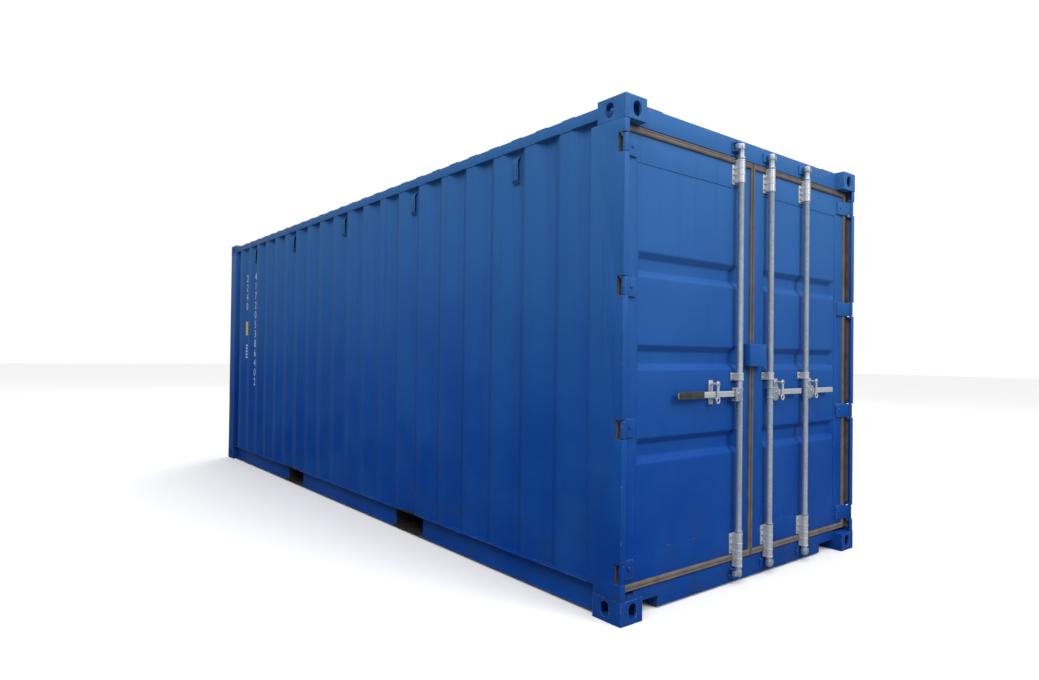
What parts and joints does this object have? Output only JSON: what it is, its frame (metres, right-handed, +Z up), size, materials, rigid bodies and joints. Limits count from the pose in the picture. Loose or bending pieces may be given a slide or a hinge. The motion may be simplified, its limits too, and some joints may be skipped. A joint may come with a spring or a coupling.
{
  "type": "twenty foot shipping container",
  "caption": "Corrugated steel freight container with two hinged end doors, turning lock bars and lifting handles.",
  "frame": {"origin": "centre of the footprint, on the ground under the bottom castings", "axes": "+Z up, +Y towards the closed end, doors at -Y, +X to the right when facing the doors"},
  "size_m": [2.438, 6.058, 2.591],
  "materials": {
    "blue_paint": "semi-gloss",
    "zinc_steel": "dull galvanised",
    "seal_rubber": "matte",
    "floor_wood": "worn varnish",
    "grip_plastic": "matte"
  },
  "bodies": {
    "frame": {"bottom_side_rail_left": "blue_paint", "bottom_side_rail_right": "blue_paint", "cam_keepers": "blue_paint", "corner_castings_bottom": "blue_paint", "corner_castings_top": "blue_paint", "cross_members": "blue_paint", "door_header": "blue_paint", "door_post_left": "blue_paint", "door_post_right": "blue_paint", "door_sill": "blue_paint", "floor": "floor_wood", "fork_pockets": "blue_paint", "front_post_left": "blue_paint", "front_post_right": "blue_paint", "front_sill": "blue_paint", "front_top_rail": "blue_paint", "front_wall": "blue_paint", "hinge_pins": "blue_paint", "roof_corner_plates": "blue_paint", "roof_panel": "blue_paint", "side_wall_left": "blue_paint", "side_wall_right": "blue_paint", "top_side_rail_left": "blue_paint", "top_side_rail_right": "blue_paint", "vents_left": "blue_paint", "vents_right": "blue_paint"},
    "door_left": {"bar_brackets_left": "zinc_steel", "bar_guides_left": "zinc_steel", "door_frame_left": "blue_paint", "door_panel_left": "blue_paint", "door_seal_left": "seal_rubber", "handle_rests_left": "zinc_steel", "hinge_blades_left": "blue_paint", "lock_staple": "blue_paint"},
    "door_right": {"bar_brackets_right": "zinc_steel", "bar_guides_right": "zinc_steel", "door_frame_right": "blue_paint", "door_panel_right": "blue_paint", "door_seal_right": "seal_rubber", "handle_rests_right": "zinc_steel", "hinge_blades_right": "blue_paint", "lock_box": "blue_paint"},
    "bar_1": {"lock_bar_1": "zinc_steel"},
    "bar_2": {"lock_bar_2": "zinc_steel"},
    "bar_3": {"lock_bar_3": "zinc_steel"},
    "handle_1": {"lock_handle_1": "zinc_steel", "handle_grip": "grip_plastic"},
    "handle_2": {"lock_handle_2": "zinc_steel"},
    "handle_3": {"lock_handle_3": "zinc_steel"},
    "catch_1": {"handle_catch_1": "zinc_steel"},
    "catch_2": {"handle_catch_2": "zinc_steel"},
    "catch_3": {"handle_catch_3": "zinc_steel"}
  },
  "joints": [
    {"name": "door_left_swing", "type": "hinge", "parent": "frame", "child": "door_left", "pos_m": [-1.199, -3.014, 1.3], "axis": [0, 0, -1], "range_deg": [0, 265]},
    {"name": "door_right_swing", "type": "hinge", "parent": "frame", "child": "door_right", "pos_m": [1.199, -3.014, 1.3], "axis": [0, 0, 1], "range_deg": [0, 265]},
    {"name": "bar_1_turn", "type": "hinge", "parent": "door_left", "child": "bar_1", "pos_m": [-0.166, -3.005, 1.2], "axis": [0, 0, -1], "range_deg": [-120, 0]},
    {"name": "handle_1_lift", "type": "hinge", "parent": "bar_1", "child": "handle_1", "pos_m": [-0.206, -3.0105, 1.102], "axis": [0, -1, 0], "range_deg": [-8, 0]},
    {"name": "catch_1_swing", "type": "hinge", "parent": "door_left", "child": "catch_1", "pos_m": [-0.409, -3.022, 1.16], "axis": [0, -1, 0], "range_deg": [-100, 0]},
    {"name": "bar_2_turn", "type": "hinge", "parent": "door_right", "child": "bar_2", "pos_m": [0.166, -3.005, 1.2], "axis": [0, 0, 1], "range_deg": [-120, 0]},
    {"name": "handle_2_lift", "type": "hinge", "parent": "bar_2", "child": "handle_2", "pos_m": [0.206, -3.0105, 1.102], "axis": [0, -1, 0], "range_deg": [0, 8]},
    {"name": "catch_2_swing", "type": "hinge", "parent": "door_right", "child": "catch_2", "pos_m": [0.281, -3.022, 1.16], "axis": [0, -1, 0], "range_deg": [0, 100]},
    {"name": "bar_3_turn", "type": "hinge", "parent": "door_right", "child": "bar_3", "pos_m": [0.596, -3.005, 1.2], "axis": [0, 0, 1], "range_deg": [-120, 0]},
    {"name": "handle_3_lift", "type": "hinge", "parent": "bar_3", "child": "handle_3", "pos_m": [0.636, -3.0105, 1.102], "axis": [0, -1, 0], "range_deg": [0, 8]},
    {"name": "catch_3_swing", "type": "hinge", "parent": "door_right", "child": "catch_3", "pos_m": [0.703, -3.022, 1.16], "axis": [0, -1, 0], "range_deg": [0, 100]}
  ]
}
